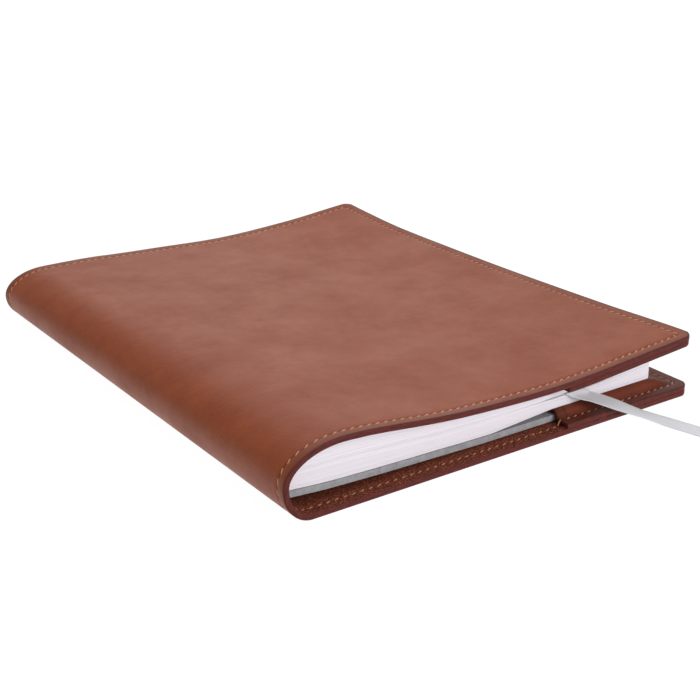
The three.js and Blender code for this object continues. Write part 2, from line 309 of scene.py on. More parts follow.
def paper(name, face, line, sheet_lines):
    """Paper; along the edges of a book it also has the fine lines of its sheets."""
    finish = Finish(name, 0.9, Specular_IOR_Level=0.2)
    tooth = finish.noise(2600, detail=3)
    colour = face
    if sheet_lines:
        sheets = finish.noise(2400, detail=2, stretch=(0.004, 1, 1))
        colour = finish.blend(finish.spread(sheets, 0.25, 0.5), line, face)
        finish.bump(sheets, 0.03, 0.3)
    shade = finish.maths("MULTIPLY", finish.spread(tooth, 0.3, 0.7), 0.1)
    finish.colour(finish.blend(shade, colour, line))
    finish.bump(tooth, 0.02, 0.3)
    return finish.material


def fibre_board(name, colour, deep, fleck):
    finish = Finish(name, 0.88, Specular_IOR_Level=0.25)
    finish.place = finish.node("ShaderNodeTexCoord").outputs["Object"]
    pulp = finish.noise(420, detail=7, roughness=0.7)
    shade = finish.blend(finish.spread(pulp, 0.35, 0.65), colour, deep)
    specks = finish.spread(finish.noise(1500, detail=2), 0.66, 0.72)
    finish.colour(finish.blend(finish.maths("MULTIPLY", specks, 0.5), shade, fleck))
    finish.bump(pulp, 0.06, 0.5)
    return finish.material


def woven(name, warp, weft, threads, sheen, roughness, on_mesh=True):
    """Crossing threads, with the given number to the metre."""
    finish = Finish(name, roughness, Sheen_Weight=sheen, Sheen_Roughness=0.35)
    if not on_mesh:
        finish.place = finish.node("ShaderNodeTexCoord").outputs["Object"]
    inputs = {"Vector": finish.place, "Scale": threads, "Distortion": 0.6, "Detail": 1.0}
    across = finish.node("ShaderNodeTexWave", inputs, bands_direction="X").outputs["Fac"]
    down = finish.node("ShaderNodeTexWave", inputs, bands_direction="Y").outputs["Fac"]
    weave = finish.maths("MULTIPLY", across, down)
    finish.colour(finish.blend(weave, weft, warp))
    finish.bump(weave, 0.04, 0.5)
    return finish.material


PAINT = rgb(98, 36, 28)
RIM = rgb(48, 24, 20)
hide_grain = grain_side("hide_grain", rgb(148, 73, 36), rgb(133, 60, 29), rgb(88, 35, 20), RIM)
hide_flesh = flesh_side("hide_flesh", rgb(136, 68, 48), rgb(76, 32, 24), rgb(212, 152, 120))
hide_edge = painted_edge("hide_edge", PAINT, rgb(66, 24, 22))
pocket_grain = grain_side("pocket_grain", rgb(124, 58, 34), rgb(104, 46, 28), rgb(70, 28, 18), RIM)
pocket_flesh = flesh_side("pocket_flesh", rgb(118, 62, 46), rgb(76, 36, 28), rgb(170, 120, 96))
waxed_thread = twisted_thread("waxed_thread", rgb(216, 160, 116), rgb(166, 108, 74))
page_edges = paper("page_edges", rgb(236, 231, 238), rgb(214, 208, 216), sheet_lines=True)
page_faces = paper("page_faces", rgb(238, 236, 238), rgb(214, 210, 214), sheet_lines=False)
grey_board = fibre_board("grey_board", rgb(172, 172, 176), rgb(146, 146, 150), rgb(206, 204, 200))
binding_cloth = woven("binding_cloth", rgb(226, 222, 212), rgb(196, 190, 178), 900, 0.1, 0.9, on_mesh=False)
white_satin = woven("white_satin", rgb(228, 228, 231), rgb(199, 201, 206), 1500, 0.4, 0.38)

# ---- floor and lights ----
WHITE = (1.0, 1.0, 1.0, 1.0)
MIDDLE_OF_PAGES = Vector((0, 0, 0.01))
world = bpy.data.worlds.new("studio")
world.use_nodes = True
world.node_tree.nodes["Background"].inputs["Color"].default_value = WHITE
world.node_tree.nodes["Background"].inputs["Strength"].default_value = 0.40
bpy.context.scene.world = world
bpy.context.scene.view_settings.view_transform = "Standard"


def soft_light(name, place, size, power):
    """A round lamp that faces the notebook."""
    data = bpy.data.lights.new(name, "AREA")
    data.shape = "DISK"
    data.size = size
    data.energy = power
    lamp = bpy.data.objects.new(name, data)
    bpy.context.scene.collection.objects.link(lamp)
    lamp.location = place
    lamp.rotation_euler = (MIDDLE_OF_PAGES - Vector(place)).to_track_quat("-Z", "Y").to_euler()


soft_light("key", (0.1, 0.2, 1.1), 1.0, 7.5)
soft_light("back", (0.62, 0.92, 0.50), 1.1, 2.5)
soft_light("front", (0.35, -1.1, 0.40), 0.8, 7.0)

floor_finish = bpy.data.materials.new("studio_floor")
floor_finish.use_nodes = True
floor_shader = floor_finish.node_tree.nodes["Principled BSDF"]
floor_shader.inputs["Base Color"].default_value = (0.06, 0.06, 0.06, 1.0)
floor_shader.inputs["Roughness"].default_value = 0.9
floor_shader.inputs["Specular IOR Level"].default_value = 0.0
floor_shader.inputs["Emission Color"].default_value = WHITE
floor_shader.inputs["Emission Strength"].default_value = 0.98
floor_mesh = bpy.data.meshes.new("studio_floor")
FLOOR_REACH = 4.0
FLOOR_Z = -0.0002
floor_corners = [(x * FLOOR_REACH, y * FLOOR_REACH, FLOOR_Z) for x, y in ((-1, -1), (1, -1), (1, 1), (-1, 1))]
floor_mesh.from_pydata(floor_corners, [], [(0, 1, 2, 3)])
floor_mesh.materials.append(floor_finish)
floor = bpy.data.objects.new("studio_floor", floor_mesh)
bpy.context.scene.collection.objects.link(floor)
floor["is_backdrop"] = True

# ---- the closed shape of the hide ----
# Seen from the foot, the spine is a quarter ellipse below its widest line and a longer one above
# it. Each pair is the value at the foot and at the head, because the cover is thicker at the foot.
# The lines give the height of the front cover's outside along its foot, head and fore-edge.
BELLY = (15.0, 11.8)
CROWN = (15.3, 11.9)
BELLY_REACH = (12.6, 11.0)
CROWN_REACH = (26.0, 21.0)
FOOT_LINE = [(20, 30.3), (27, 30.3), (38, 29.7), (50, 28.4), (64, 26.7), (84, 24.9), (121, 23.4),
             (145, 23.8), (167, 25.2), (190, 26.9), (COVER_W, 28.4)]
HEAD_LINE = [(20, 23.7), (30, 23.7), (47, 23.4), (64, 22.3), (86, 21.4), (127, 19.9), (168, 21.5),
             (198, 24.4), (COVER_W, 25.6)]
FORE_LINE = [(0, 28.4), (12, 28.1), (30, 27.2), (50, 26.2), (90, 25.0), (150, 23.5), (215, 23.0),
             (250, 24.5), (COVER_L, 25.6)]
DIP_START = 90                       # the dip of the fore-edge sets in from this x
RIPPLE = 0.12                        # small unevenness of the front cover


def along(pair, y):
    return mix(pair[0], pair[1], y / COVER_L)


def front_height(x, y):
    """Height of the outside of the front cover: it dips in the middle and curls at its corners."""
    share = y / COVER_L
    plain = mix(through(FOOT_LINE, x), through(HEAD_LINE, x), share)
    dip = through(FORE_LINE, y) - mix(FORE_LINE[0][1], FORE_LINE[-1][1], share)
    ripple = RIPPLE * np.sin(x / 17.0 + 1.3) * np.sin(y / 23.0) * smooth(x, 30, 70)
    return plain + dip * smooth(x, DIP_START, COVER_W) + ripple


def bend_point(turned, y):
    """Outer point of the spine where the hide has turned by this angle from the back cover."""
    upper = turned > math.pi / 2
    left = np.where(upper, math.pi - turned, turned)
    tall = np.where(upper, along(CROWN, y), along(BELLY, y))
    reach = np.where(upper, along(CROWN_REACH, y), along(BELLY_REACH, y))
    phi = np.arctan2(tall * np.cos(left), reach * np.sin(left))
    x = reach * (1 - np.cos(phi))
    rise = tall * np.sin(phi)
    return x, along(BELLY, y) + np.where(upper, rise, -rise)


def run_along(x, y):
    """Distance from the first point of a line to each of its points."""
    return np.concatenate([[0], np.cumsum(np.hypot(np.diff(x), np.diff(y)))])


# Lengths round the hide at half its height: flat back, bend of the spine, front.
BACK_RUN = COVER_W - sum(BELLY_REACH) / 2
FRONT_RUN = COVER_W - sum(CROWN_REACH) / 2
turn_table = np.linspace(0, math.pi, 181)
bend_table = run_along(*bend_point(turn_table, np.full(len(turn_table), COVER_L / 2)))
BEND_RUN = bend_table[-1]
HIDE_RUN = BACK_RUN + BEND_RUN + FRONT_RUN
MIDDLE = BACK_RUN + float(np.interp(math.pi / 2, turn_table, bend_table))


def outer_point(u, y):
    """Point on the outside of the hide: u runs from the back fore-edge round to the front one."""
    u, y = np.broadcast_arrays(np.asarray(u, float), np.asarray(y, float))
    x, z = bend_point(np.interp(u - BACK_RUN, bend_table, turn_table), y)
    back_x = COVER_W - u / BACK_RUN * (COVER_W - along(BELLY_REACH, y))
    front_x = COVER_W - (HIDE_RUN - u) / FRONT_RUN * (COVER_W - along(CROWN_REACH, y))
    on_back = u < BACK_RUN
    on_front = u > BACK_RUN + BEND_RUN
    x = np.where(on_back, back_x, np.where(on_front, front_x, x))
    z = np.where(on_back, 0.0, np.where(on_front, front_height(front_x, y), z))
    return np.stack([x, y, z], -1)


def unit(vectors):
    return vectors / np.linalg.norm(vectors, axis=-1, keepdims=True)


def outer_normal(u, y):
    step = 0.5
    across = outer_point(np.minimum(u + step, HIDE_RUN), y) - outer_point(np.maximum(u - step, 0), y)
    lengthwise = outer_point(u, y + step) - outer_point(u, y - step)
    return unit(np.cross(across, lengthwise))


def edge_distance(fore, y):
    """Distance to the nearest cut edge, round corners included."""
    side = np.minimum(y, COVER_L - y)
    in_corner = (fore < CORNER_R) & (side < CORNER_R)
    from_corner = CORNER_R - np.hypot(CORNER_R - fore, CORNER_R - side)
    return np.where(in_corner, from_corner, np.minimum(fore, side))


def pull(distance):
    """Depth that the stitches pull the leather in."""
    return SEAM_DEPTH * np.exp(-(((distance - SEAM_INSET) / 0.8) ** 2))


def hide_point(u, y, depth):
    """Point at a depth below the outside of the hide, with the seam pulled in on both faces."""
    u, y, depth = np.broadcast_arrays(*(np.asarray(v, float) for v in (u, y, depth)))
    seam = pull(edge_distance(np.minimum(u, HIDE_RUN - u), y))
    shift = seam * (1 - 2 * depth / LEATHER)
    return outer_point(u, y) - (depth + shift)[..., None] * outer_normal(u, y)


def hide_inner_height(x, y):
    """Height of the inside of the front cover over a place on the notebook."""
    flat = front_height(np.maximum(x, 20.0), y) - LEATHER
    tall = along(CROWN, y) - LEATHER
    reach = along(CROWN_REACH, y) - LEATHER
    within = np.clip((x - LEATHER) / reach, 0.0, 1.0)
    crown = along(BELLY, y) + tall * np.sqrt(1 - (1 - within) ** 2)
    return np.where(x < along(CROWN_REACH, y), np.minimum(flat, crown), flat)


# ---- sheets of leather ----
GRAIN, CUT, FLESH = 0, 1, 2
ROUND_STEPS = 5
ROUND_PLACES = EDGE_ROUND * np.array([0.0, 0.35, 0.85, 1.0])
SEAM_PLACES = SEAM_INSET + np.array([-3.4, -2.4, -1.4, -0.8, -0.4, 0, 0.4, 0.8, 1.5, 2.7, 4.0, 5.3])
FIRST_PLAIN = 13.0


def near_edges(reach, step):
    """Places from a cut edge inward, close together at the edge and at the seam."""
    far = np.linspace(FIRST_PLAIN, reach, max(2, round((reach - FIRST_PLAIN) / step)) + 1)
    return np.concatenate([ROUND_PLACES, SEAM_PLACES, far])


def corner_inset(fore):
    """How far a round corner draws in the foot and head edges, at a distance from the fore-edge."""
    into = min(max(CORNER_R - fore, 0.0), CORNER_R)
    return CORNER_R - math.sqrt(CORNER_R**2 - into**2)


def sheet_section(lines, fore, end, thickness):
    """Round one section of a sheet, starting on its grain side at the foot: places and depths.

    fore is the section's distance from the fore-edge, and end that from the nearest end.
    """
    draw = EDGE_ROUND * (1 - math.sqrt(1 - (1 - min(end / EDGE_ROUND, 1.0)) ** 2))
    top, bottom = draw, thickness - draw
    inset = corner_inset(fore)
    low = inset + EDGE_ROUND
    high = COVER_L - low
    near_foot = lines < COVER_L / 2
    inward = np.where(near_foot, 1, -1)
    middle = (lines > CORNER_R * 1.5) & (lines < COVER_L - CORNER_R * 1.5)
    kept = np.clip(lines + inward * (inset - EDGE_ROUND), low, high)
    y = np.where(middle, low + (high - low) * (lines / COVER_L), kept)
    swing = np.linspace(0, math.pi, ROUND_STEPS + 2)[1:-1]
    down = mix(top, bottom, 0.5 - 0.5 * np.cos(swing))
    out = EDGE_ROUND * np.sin(swing)
    places = np.concatenate([y, high + out, y[::-1], low - out])
    depths = np.concatenate([np.full(len(y), top), down, np.full(len(y), bottom), down[::-1]])
    return places, depths


def sheet_sides(flats, ends, kinds):
    """Faces between neighbouring sections, with their materials and flat places."""
    faces, face_kinds, uvs = [], [], []
    size = len(kinds)
    round_up = flats[:, -1, 1] + 1.0
    for s in range(len(flats) - 1):
        at_end = min(ends[s], ends[s + 1]) < EDGE_ROUND * 0.8
        for k in range(size):
            n = (k + 1) % size
            faces.append((s * size + k, s * size + n, (s + 1) * size + n, (s + 1) * size + k))
            face_kinds.append(CUT if at_end else kinds[k])
            reach = round_up if n == 0 else flats[:, n, 1]
            uvs += [flats[s, k], (flats[s, 0, 0], reach[s])]
            uvs += [(flats[s + 1, 0, 0], reach[s + 1]), flats[s + 1, k]]
    return faces, face_kinds, uvs


def end_patches(size, n):
    """The faces that close one end of a sheet: strips from the grain to the flesh, and two rounds."""
    first_flesh = 2 * n + ROUND_STEPS - 1
    strips = [(k, first_flesh - k, first_flesh - k - 1, k + 1) for k in range(n - 1)]
    head_round = tuple(range(first_flesh - n + 1, n - 2, -1))
    foot_round = (0, *range(size - 1, first_flesh - 1, -1))
    return [*strips, head_round, foot_round]


def leather_sheet(name, places, fore_of, point, thickness, materials, free_of=None):
    """A closed sheet with rounded cut edges.

    places are the sections of the sheet, fore_of gives a section's distance from its fore-edge,
    free_of that from its free edge if it has one, and point(place, y, depth) gives its points.
    """
    half = near_edges(COVER_L / 2, 9.0)
    lines = np.concatenate([half, (COVER_L - half[::-1])[1:]])
    n = len(lines)
    rings, flats, edges, ends = [], [], [], []
    for place in places:
        fore = fore_of(place)
        end = fore if free_of is None else min(fore, free_of(place))
        y, depth = sheet_section(lines, fore, end, thickness)
        rings.append(point(place, y, depth))
        flats.append(np.stack([np.full(len(y), place), run_along(y, depth)], -1))
        edges.append(np.minimum(edge_distance(np.full(len(y), fore), y), end))
        ends.append(end)
    round_kinds = [CUT] * (ROUND_STEPS + 1)
    kinds = [GRAIN] * (n - 1) + round_kinds + [FLESH] * (n - 1) + round_kinds
    flats = np.array(flats)
    size = len(kinds)
    faces, face_kinds, uvs = sheet_sides(flats, ends, kinds)
    first_end_face = len(faces)
    for s, turned in ((0, False), (len(places) - 1, True)):
        for patch in end_patches(size, n):
            patch = patch[::-1] if turned else patch
            faces.append(tuple(s * size + k for k in patch))
            face_kinds.append(CUT)
            uvs += [flats[s, k] for k in patch]
    obj = finish_mesh(name, np.concatenate(rings), faces, uvs, materials, face_kinds)
    measure = obj.data.attributes.new("edge", "FLOAT", "POINT")
    measure.data.foreach_set("value", np.concatenate(edges).astype(np.float32))
    sharpen(obj, first_end_face)
    return obj


def sharpen(obj, first_flat):
    """Keeps the end faces, from this one on, out of the smooth shading of the rest."""
    mesh = obj.data
    border = set()
    for polygon in mesh.polygons[first_flat:]:
        border.update(polygon.edge_keys)
    for edge in mesh.edges:
        if edge.key in border:
            edge.use_edge_sharp = True


def finish_mesh(name, points, faces, uvs, materials, kinds=None, smooth_faces=True):
    """A mesh object in metres in the model's frame, with its flat layout in metres as a UV map."""
    mesh = bpy.data.meshes.new(name)
    mesh.from_pydata(((np.asarray(points) + SHIFT) * MM).tolist(), [], faces)
    for material in materials:
        mesh.materials.append(material)
    if kinds is not None:
        mesh.polygons.foreach_set("material_index", kinds)
    mesh.polygons.foreach_set("use_smooth", [smooth_faces] * len(faces))
    layer = mesh.uv_layers.new(name="flat")
    layer.data.foreach_set("uv", (np.array(uvs, float) * MM).ravel())
    shape = bmesh.new()
    shape.from_mesh(mesh)
    bmesh.ops.recalc_face_normals(shape, faces=shape.faces)
    shape.to_mesh(mesh)
    shape.free()
    obj = bpy.data.objects.new(name, mesh)
    bpy.context.scene.collection.objects.link(obj)
    return obj


MARGIN = 40.0                        # sections are closer together up to here from the fore-edge
BEND_START = 3.0                     # and again from this far before the bend
LAST_STEP = 0.4                      # the last section before mid-spine keeps that edge crisp


def half_hide(flat_run, whole_run, bend_steps):
    """Sections of half of the hide, from its fore-edge to mid-spine, close together in the bend."""
    flat = np.linspace(MARGIN, flat_run - BEND_START, 17)[1:]
    bend = np.linspace(flat_run - BEND_START, whole_run - LAST_STEP, bend_steps + 1)[1:]
    return np.concatenate([near_edges(MARGIN, 6.0), flat, bend, [whole_run]])


def fore_of_hide(u):
    return float(min(u, HIDE_RUN - u))


def hide_sheet(name, places):
    materials = [hide_grain, hide_edge, hide_flesh]
    return leather_sheet(name, places, fore_of_hide, hide_point, LEATHER, materials)


back_cover = hide_sheet("back_cover_leather", half_hide(BACK_RUN, MIDDLE, 17))
front_sections = HIDE_RUN - half_hide(FRONT_RUN, HIDE_RUN - MIDDLE, 25)[::-1]
front_cover = hide_sheet("front_cover_leather", front_sections)

# The cover opens at two lines along the spine. FOLD_REACH is how far a stretch of hide reaches on either side
# of each.
FOLD_REACH = 6.5
joints = {joint["name"]: joint for joint in frame["joints"]}


def fold_line(joint_name, lean):
    """The two ends of a stretch of hide about a joint. It leans by +1 or -1 along X."""
    pivot = Vector(joints[joint_name]["pos_m"])
    way = Vector((lean, 0, 1)).normalized() * FOLD_REACH * MM
    return pivot - way, pivot + way


BACK_FOLD = fold_line("spine_fold_back", -1)
FRONT_FOLD = fold_line("spine_fold_front", 1)


def bend_back(piece):
    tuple(BACK_FOLD[0])
    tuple(BACK_FOLD[1])
    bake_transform(piece)


def bend_front(piece):
    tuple(FRONT_FOLD[0])
    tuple(FRONT_FOLD[1])
    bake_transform(piece)


bend_back(back_cover)
bend_front(front_cover)
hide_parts("back_panel", "spine_strip_1", "spine_strip_2", "spine_strip_3")
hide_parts("spine_strip_4", "spine_strip_5", "front_panel")

# ---- the notebook ----
BOARD_REST = LEATHER + 0.5           # underside of the back board where it lies level
BOARD_LINE = [(7, 6.6), (24, 5.2), (50, 4.2), (80, 3.5), (100, BOARD_REST), (COVER_W, BOARD_REST)]
CLIMB_START = 104.0                  # the pages climb from here on to lie over the pocket
CLIMB_END = POCKET_START - 1
STEP = POCKET_LEATHER + GAP          # how far they climb
LEAVES = 9                           # drawn leaves in a bundle of pages
LEAF = 0.25                          # their thickness in the paper's pattern
LEAF_SETBACK = 0.14                  # how far a leaf's edge may stand back from the bundle's
CARD_SETBACK = 0.05
BUNDLE_SLIT = 0.02                   # between bundles
MARK_SLIT = 0.05                     # half of the gap at the marked page, away from the ribbon
RIBBON_ROOM = 0.5                    # and what the ribbon adds to it
RIBBON_SPREAD = 13.0                 # over this reach


def board_top(x):
    return through(BOARD_LINE, x) + BOARD


def card_top(x, y):
    return hide_inner_height(x, y) - GAP


def card_under(x, y):
    return card_top(x, y) - CARD


def pages_under(x, y):
    return board_top(x) + GAP + STEP * ramp(x, CLIMB_START, CLIMB_END)


# The top of the pages sinks next to the spine, most at the foot. That leaves the folded hide its
# room when the cover is open.
HOLLOW = (2.15, 0.25)
HOLLOW_LINE = [(12, 0), (20, 0.85), (24.5, 1), (31, 0.9), (45, 0.5), (70, 0.2), (95, 0)]


def pages_top(x, y):
    hollow = along(HOLLOW, y) * through(HOLLOW_LINE, x)
    return card_under(x, y) - GAP - hollow - STEP * ramp(x, CLIMB_START, CLIMB_END)


# The level at which the book is marked is the model's own: the ribbon lies on it.
MARK_FOOT = [(10.8, 29.5), (36, 29.2), (62, 27), (82, 25.2), (122, 23.4), (167, 25.2), (COVER_W, 28.2)]
MARK_HEAD = [(10.8, 29.5), (24, 28.2), (50, 24.4), (86, 21.6), (127, 20), (168, 21.7), (COVER_W, 25.4)]
MARK_SAG = 3.0                       # half-way along, towards the fore-edge
MARK_SHARE = (0.5, 0.62)             # of the pages below the mark, at the spine and at the pocket


def marked_level(x, y):
    share = y / COVER_L
    cover = mix(through(MARK_FOOT, x), through(MARK_HEAD, x), share)
    cover = cover - MARK_SAG * np.sin(math.pi * share) * ramp(x, 120, COVER_W)
    above = cover - LEATHER - CARD - 3 * GAP - STEP * ramp(x, CLIMB_START, CLIMB_END)
    return mix(pages_under(x, y), above, mix(*MARK_SHARE, ramp(x, 80, POCKET_START)))


RIBBON_HEAD = (14.0, COVER_L - PAGE_INSET - 3)     # its ends among the pages
RIBBON_FOOT = (147.0, PAGE_INSET + 1)


def page_room(x, y):
    """Half of the gap between the two halves of the pages, wider where the ribbon lies."""
    share = (RIBBON_HEAD[1] - y) / (RIBBON_HEAD[1] - RIBBON_FOOT[1])
    on_ribbon = mix(RIBBON_HEAD[0], RIBBON_FOOT[0], share)
    return MARK_SLIT + RIBBON_ROOM * np.exp(-(((x - on_ribbon) / RIBBON_SPREAD) ** 2))


def rim_of(nx, ny):
    """The places round the edge of a grid, and the way out of the grid at each."""
    rim = [(i, 0) for i in range(nx - 1)] + [(nx - 1, j) for j in range(ny - 1)]
    rim += [(i, ny - 1) for i in range(nx - 1, 0, -1)] + [(0, j) for j in range(ny - 1, 0, -1)]
    i, j = np.array(rim).T
    out_x = np.where(i == nx - 1, 1.0, np.where(i == 0, -1.0, 0.0))
    out_y = np.where(j == ny - 1, 1.0, np.where(j == 0, -1.0, 0.0))
    return i, j, out_x, out_y


def stack(name, xs, under, top, leaves, materials, setback):
    """A pile of leaves: its faces follow under and top, and its edges step in and out leaf by leaf."""
    grid_x, grid_y = np.meshgrid(xs, PAGE_YS, indexing="ij")
    nx, ny = grid_x.shape
    rim_i, rim_j, out_x, out_y = rim_of(nx, ny)
    rim_x, rim_y = grid_x[rim_i, rim_j], grid_y[rim_i, rim_j]
    low, high = under(grid_x, grid_y), top(grid_x, grid_y)

    def ring(share, depth):
        height = mix(low, high, share)[rim_i, rim_j]
        return np.stack([rim_x - out_x * depth, rim_y - out_y * depth, height], -1)

    depths = rng.uniform(0, setback, leaves)
    shares = np.linspace(0, 1, leaves + 1)
    bottom_cap = np.stack([grid_x, grid_y, low], -1)
    top_cap = np.stack([grid_x, grid_y, high], -1)
    bottom_cap[rim_i, rim_j] = ring(0.0, depths[0])
    top_cap[rim_i, rim_j] = ring(1.0, depths[-1])
    middle, levels = [], [0.0]
    for leaf in range(1, leaves):
        middle += [ring(shares[leaf], depths[leaf - 1]), ring(shares[leaf], depths[leaf])]
        levels += [leaf, leaf]
    levels.append(leaves)
    points = np.concatenate([bottom_cap.reshape(-1, 3), top_cap.reshape(-1, 3)] + middle)

    flat_rim = rim_i * ny + rim_j
    m = len(flat_rim)
    rows = [flat_rim]
    rows += [2 * nx * ny + r * m + np.arange(m) for r in range(len(middle))]
    rows.append(nx * ny + flat_rim)
    around = run_along(rim_x, rim_y)
    first_v = rng.uniform(0, 900)
    faces, uvs, kinds = [], [], []
    for r in range(len(rows) - 1):
        lower, upper = rows[r], rows[r + 1]
        low_v, high_v = (LEAF * level + first_v for level in levels[r : r + 2])
        for k in range(m):
            n = (k + 1) % m
            end = around[k] + 5.0 if n == 0 else around[n]
            faces.append((lower[k], lower[n], upper[n], upper[k]))
            uvs += [(around[k], low_v), (end, low_v), (end, high_v), (around[k], high_v)]
            kinds.append(0)
    for cap in (0, nx * ny):
        for i in range(nx - 1):
            for j in range(ny - 1):
                a = cap + i * ny + j
                quad = (a, a + ny, a + ny + 1, a + 1)
                faces.append(quad)
                uvs += [(points[v, 0], points[v, 1]) for v in quad]
                kinds.append(1)
    faces = [tuple(int(v) for v in face) for face in faces]
    return finish_mesh(name, points, faces, uvs, materials, kinds, smooth_faces=False)


def settle(piece, body, slot, *nodes):
    """Makes a piece ride on a body, in place of nodes of the model. slot is not used."""
    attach(piece, body)
    if nodes:
        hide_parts(*nodes)


PAGE_YS = np.linspace(PAGE_INSET, COVER_L - PAGE_INSET, 15)
PAGE_XS = [21, 25.5, 31, 40, 50, 63, 76, 90, CLIMB_START, 112, 120, 129, CLIMB_END, 150, 165, 179,
           PAGE_END]


def under_mark(x, y, share):
    return mix(pages_under(x, y), marked_level(x, y) - page_room(x, y), share)


def over_mark(x, y, share):
    return mix(marked_level(x, y) + page_room(x, y), pages_top(x, y), share)


def signatures(half, count, level, spine_xs, body):
    """Bundles of pages from the lowest up; spine_xs gives each one's places next to the spine."""
    for k in range(count):
        def under(x, y):
            return level(x, y, k / count)

        def top(x, y):
            return level(x, y, (k + 1) / count) - BUNDLE_SLIT

        xs = spine_xs(k) + PAGE_XS
        pages = stack(f"{half}_pages_{k + 1}", xs, under, top, LEAVES, [page_edges, page_faces], LEAF_SETBACK)
        settle(pages, body, "paper", f"{half}_signature_{k + 1}")


def lower_spine_xs(k):
    return [5.0, 10, 16]


def upper_spine_xs(k):
    return [9.5 + 1.2 * k, 13, 17]


signatures("lower", 4, under_mark, lower_spine_xs, "back")
signatures("upper", 3, over_mark, upper_spine_xs, "upper_pages")
card = stack("front_card", [14.0, 18] + PAGE_XS, card_under, card_top, 2, [grey_board] * 2, CARD_SETBACK)
settle(card, "front", "grey_board", "notebook_front_card")


def refinish(node, material):
    """Gives a node of the model, whose shape is right as it is, this material."""
    obj = bpy.data.objects[node]
    obj.data.materials.clear()
    obj.data.materials.append(material)


refinish("notebook_back_board", grey_board)
refinish("spine_lining", binding_cloth)


# ---- the two pockets ----
COVERED_GAP = 0.25                   # from a pocket to the board or card that it covers
OVERHANG = 0.2                       # a pocket is fully lifted this far outside the pages
POCKET_PULL = 0.8                    # share of the hide's seam depth


def pocket_lift(x, y):
    """How far a pocket stands off the cover: not at all in its margin, fully over the notebook."""
    side = np.minimum(y, COVER_L - y)
    from_side = smooth(side, SEAM_FLAT, PAGE_INSET - OVERHANG)
    from_fore = smooth(COVER_W - x, SEAM_FLAT, COVER_W - PAGE_END - OVERHANG)
    return np.minimum(from_side, from_fore)


def pocket_pull(x, y, depth):
    """How far the stitches pull a pocket's grain side in; its other side stays as it is."""
    return POCKET_PULL * pull(edge_distance(COVER_W - x, y)) * (1 - depth / POCKET_LEATHER)


def back_pocket_point(x, y, depth):
    x, y = np.broadcast_arrays(np.asarray(x, float), np.asarray(y, float))
    low = mix(LEATHER + CONTACT, BOARD_REST + BOARD + COVERED_GAP, pocket_lift(x, y))
    return np.stack([x, y, low + POCKET_LEATHER - depth - pocket_pull(x, y, depth)], -1)


def front_pocket_point(x, y, depth):
    x, y = np.broadcast_arrays(np.asarray(x, float), np.asarray(y, float))
    cover = front_height(x, y) - LEATHER
    high = mix(cover - CONTACT, cover - GAP - CARD - COVERED_GAP, pocket_lift(x, y))
    return np.stack([x, y, high - POCKET_LEATHER + depth + pocket_pull(x, y, depth)], -1)


def fore_of_pocket(x):
    return COVER_W - x


def free_of_pocket(x):
    return x - POCKET_START


POCKET_W = COVER_W - POCKET_START
free_edge = POCKET_W - np.array([10.0, 7, 4, 2, 1.2, *ROUND_PLACES[::-1]])
pocket_places = COVER_W - np.concatenate([near_edges(POCKET_W - FIRST_PLAIN, 5.0), free_edge])
pocket_materials = [pocket_grain, hide_edge, pocket_flesh]
for side, point in (("back", back_pocket_point), ("front", front_pocket_point)):
    pocket = leather_sheet(f"{side}_pocket_leather", pocket_places, fore_of_pocket, point,
                           POCKET_LEATHER, pocket_materials, free_of_pocket)
    settle(pocket, side, "pocket_leather", f"{side}_pocket")


# ---- stitches ----
STITCH_SECTIONS = (-1.0, -0.93, -0.75, -0.45, 0.0, 0.45, 0.75, 0.93, 1.0)
STITCH_SIDES = 8
STITCH_SIDE_W = 0.35                 # width of one of its sides in the thread's pattern
PATTERN_GAP = 5.0                    # from one stitch to the next in the thread's pattern
SLANT_SPREAD = 0.025                 # hand-sewn stitches differ a little in slant and length
LENGTH_SPREAD = 0.015


def stitch_shape():
    """One stitch along X, with its ends sunk in their holes: rows of points round it."""
    rows = []
    for t in STITCH_SECTIONS:
        size = math.sqrt(max(1 - abs(t) ** 3.5, 0.02))
        sink = THREAD_H * (THREAD_PROUD - 1.15 * abs(t) ** 3)
        row = []
        for k in range(STITCH_SIDES):
            a = 2 * math.pi * k / STITCH_SIDES
            aside = math.cos(a) * size * THREAD_W / 2
            high = sink + math.sin(a) * size * THREAD_H / 2
            row.append((t * STITCH_LENGTH / 2, aside, high))
        rows.append(row)
    return np.array(rows)


STITCH = stitch_shape()


def stitches(name, places):
    """One mesh of many stitches; places are (point, direction of the seam, way out of the leather)."""
    points, faces, uvs = [], [], []
    rows, around = STITCH.shape[:2]
    for count, (place, way, out) in enumerate(places):
        way = unit(way - out * np.dot(way, out))
        lean = STITCH_SLANT + rng.normal(0, SLANT_SPREAD)
        across = np.cross(out, way)
        head = way * math.cos(lean) + across * math.sin(lean)
        cross = np.cross(out, head)
        body = STITCH * np.array([rng.normal(1, LENGTH_SPREAD), 1, 1])
        base = len(points)
        solid = place + body[..., :1] * head + body[..., 1:2] * cross + body[..., 2:] * out
        points += list(solid.reshape(-1, 3))
        start_u = PATTERN_GAP * count
        for r in range(rows - 1):
            low, high = base + r * around, base + (r + 1) * around
            low_u, high_u = STITCH[r : r + 2, 0, 0] + start_u
            for k in range(around):
                n = (k + 1) % around
                low_v, high_v = k * STITCH_SIDE_W, (k + 1) * STITCH_SIDE_W
                faces.append((low + k, high + k, high + n, low + n))
                uvs += [(low_u, low_v), (high_u, low_v), (high_u, high_v), (low_u, high_v)]
        last = base + (rows - 1) * around
        faces += [tuple(range(base, base + around)), tuple(range(last + around - 1, last - 1, -1))]
        uvs += [(start_u, 0)] * (2 * around)
    return finish_mesh(name, points, faces, uvs, [waxed_thread])


